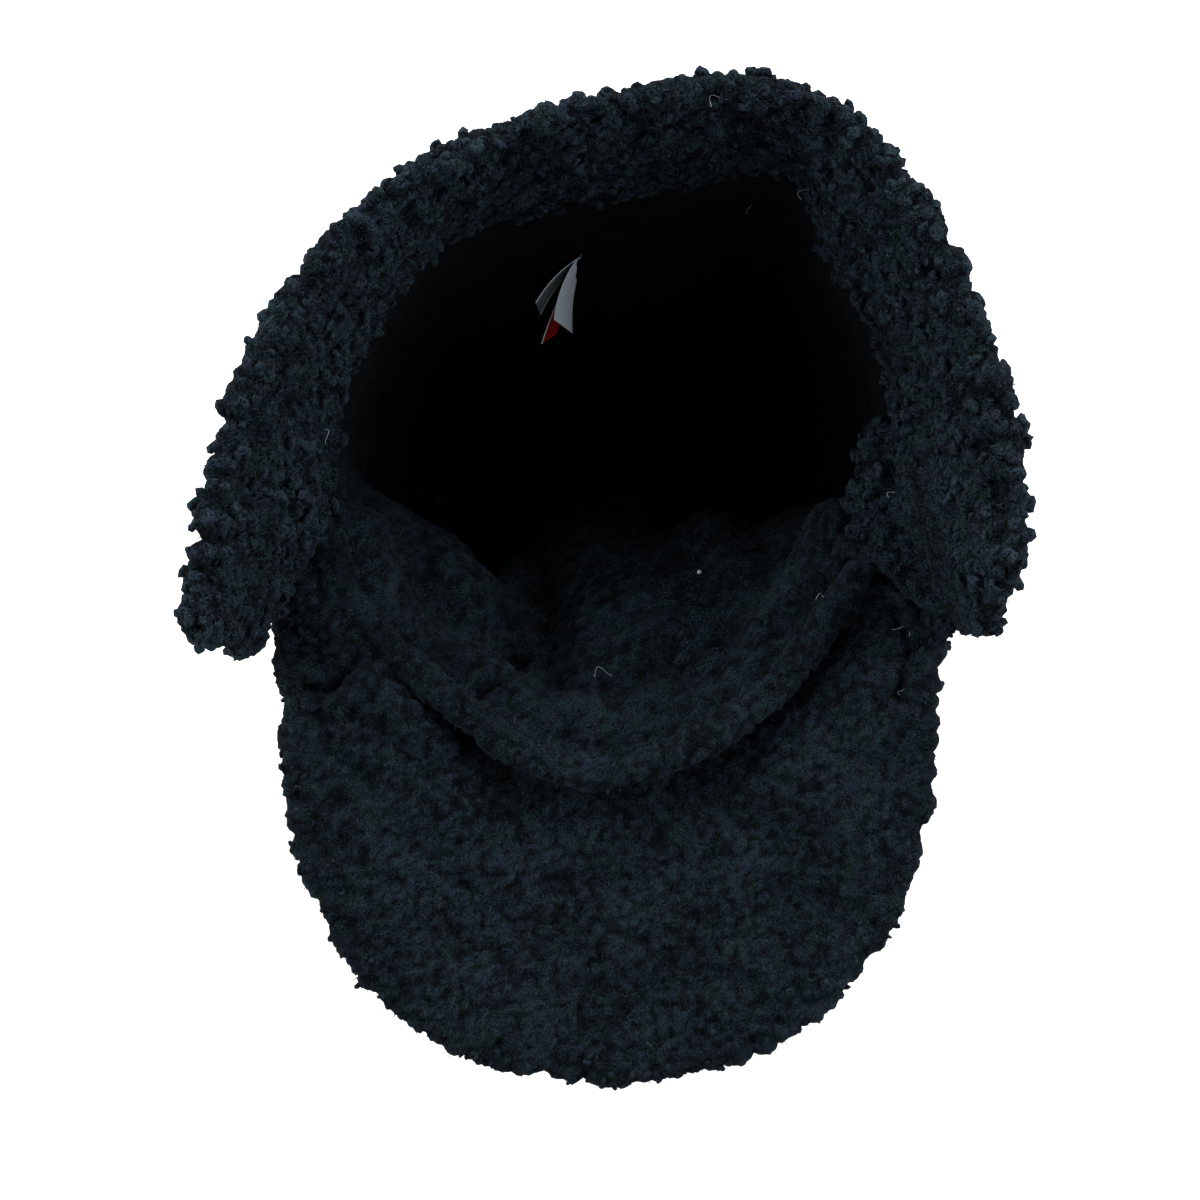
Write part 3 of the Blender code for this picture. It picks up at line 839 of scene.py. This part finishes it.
def seen_place(x, y):
    """Where the camera sees this pixel of the photograph on the cap, and the surface's normal there."""
    camera = bpy.context.scene.camera
    reach = SENSOR_WIDTH / CAMERA_LENS / PHOTO_SIZE
    ray = Vector(((x - PHOTO_SIZE / 2) * reach, (PHOTO_SIZE / 2 - y) * reach, -1.0))
    direction = (camera.matrix_world.to_3x3() @ ray).normalized()
    layer = bpy.context.evaluated_depsgraph_get()
    hit, place, normal, *_ = bpy.context.scene.ray_cast(layer, camera.matrix_world.translation, direction)
    if not hit:
        raise RuntimeError(f"the camera sees nothing of the cap at {x}, {y}")
    return place, normal


class CAP_OT_lint(Operator):
    """Lay the loose pale threads and the speck of lint on the cap"""

    bl_idname = "cap.lint"
    bl_label = "Lint"

    def execute(self, context):
        colours = context.scene.cap_colours
        pale = label_material("lint_pale", [0.45 * c for c in colours.pale])
        context.view_layer.update()
        form = bmesh.new()
        place, normal = seen_place(*SPECK_PLACE)
        ball = bmesh.ops.create_icosphere(form, subdivisions=1, radius=SPECK_SIZE / 2 * MM)
        bmesh.ops.translate(form, verts=ball["verts"], vec=place + normal * SPECK_SIZE * MM)
        for thread in THREADS:
            place, normal = seen_place(thread.x, thread.y)
            turn = math.radians(thread.turn)
            ahead = Vector((math.cos(turn), math.sin(turn), 0.0)) * thread.length
            aside = Vector((-math.sin(turn), math.cos(turn), 0.0)) * thread.length * 0.4
            lift = normal * THREAD_LIFT * MM
            ring = None
            for n in range(THREAD_STEPS + 1):
                t = n / THREAD_STEPS - 0.5
                spot = place + lift + ahead * t + aside * math.cos(5.0 * t + turn)
                near = [form.verts.new(spot + Vector(c) * THREAD_WIDTH / 2 * MM) for c in THREAD_SIDES]
                if ring:
                    for k in range(3):
                        form.faces.new((ring[k], ring[k - 1], near[k - 1], near[k]))
                ring = near
        bmesh.ops.recalc_face_normals(form, faces=form.faces)
        mesh = bpy.data.meshes.new("loose_threads")
        form.to_mesh(mesh)
        form.free()
        mesh.materials.append(pale)
        finish_piece(new_piece("loose_threads", mesh), "label_cloth_white")
        return {"FINISHED"}


class CAP_OT_stage(Operator):
    """Set the floor, the world and the lights"""

    bl_idname = "cap.stage"
    bl_label = "Stage"

    def execute(self, context):
        scene = context.scene
        colours = scene.cap_colours
        bpy.ops.mesh.primitive_plane_add(size=12.0, location=(0.0, 0.0, -0.0005))
        floor = context.active_object
        floor.name = "floor"
        material = bpy.data.materials.new("floor_pale")
        material.use_nodes = True
        shader = material.node_tree.nodes["Principled BSDF"]
        shader.inputs["Base Color"].default_value = (*colours.floor, 1.0)
        shader.inputs["Roughness"].default_value = 0.9
        floor.data.materials.append(material)
        world = bpy.data.worlds.new("studio")
        scene.world = world
        world.use_nodes = True
        world.node_tree.nodes["Background"].inputs["Color"].default_value = (0.9, 0.95, 1.0, 1.0)
        world.node_tree.nodes["Background"].inputs["Strength"].default_value = 0.30
        lights = (
            ("light_back", (0.1, 1.5, 1.2), 1.2, 70.0),
            ("light_left", (-1.5, 0.2, 0.9), 1.2, 55.0),
            ("light_right", (1.5, 0.2, 0.9), 1.2, 55.0),
            ("light_front", (0.0, -1.9, 0.5), 1.2, 14.0),
        )
        for name, place, size, power in lights:
            lamp = bpy.data.objects.new(name, bpy.data.lights.new(name, "AREA"))
            lamp.data.size = size
            lamp.data.energy = power
            lamp.location = place
            aim = Vector(CAMERA_TARGET) - Vector(place)
            lamp.rotation_euler = aim.to_track_quat("-Z", "Y").to_euler()
            scene.collection.objects.link(lamp)
        scene.view_settings.view_transform = "Standard"
        return {"FINISHED"}


class CAP_PT_sidebar(Panel):
    """The cap's pieces, in the sidebar"""

    bl_idname = "CAP_PT_sidebar"
    bl_label = "Earflap Cap"
    bl_space_type = "VIEW_3D"
    bl_region_type = "UI"
    bl_category = "Cap"

    def draw(self, context):
        for group in (context.scene.cap_fleece, context.scene.cap_colours):
            for name in group.__annotations__:
                self.layout.prop(group, name)
        for operator in OPERATORS:
            self.layout.operator(operator.bl_idname)


OPERATORS = (
    CAP_OT_earflap_band,
    CAP_OT_crown,
    CAP_OT_peak,
    CAP_OT_labels,
    CAP_OT_lint,
    CAP_OT_stage,
)
CLASSES = (CapFleece, CapColours, *OPERATORS, CAP_PT_sidebar)


def register():
    for item in CLASSES:
        bpy.utils.register_class(item)
    bpy.types.Scene.cap_fleece = PointerProperty(type=CapFleece)
    bpy.types.Scene.cap_colours = PointerProperty(type=CapColours)


def unregister():
    del bpy.types.Scene.cap_colours
    del bpy.types.Scene.cap_fleece
    for item in reversed(CLASSES):
        bpy.utils.unregister_class(item)


def set_camera():
    """The camera looks straight into the opening, as in the photograph."""
    camera = bpy.data.objects.new("camera", bpy.data.cameras.new("camera"))
    camera.data.lens = CAMERA_LENS
    camera.data.sensor_width = SENSOR_WIDTH
    back = Vector((0.0, -math.cos(CAMERA_ELEVATION), math.sin(CAMERA_ELEVATION)))
    camera.location = Vector(CAMERA_TARGET) + back * CAMERA_DISTANCE
    camera.rotation_euler = (-back).to_track_quat("-Z", "Y").to_euler()
    bpy.context.scene.collection.objects.link(camera)
    bpy.context.scene.camera = camera
    return camera


def main():
    register()
    set_camera()
    bpy.ops.cap.earflap_band()
    bpy.ops.cap.crown()
    bpy.ops.cap.peak()
    bpy.ops.cap.labels()
    bpy.ops.cap.lint()
    bpy.ops.cap.stage()


if __name__ == "__main__":
    main()
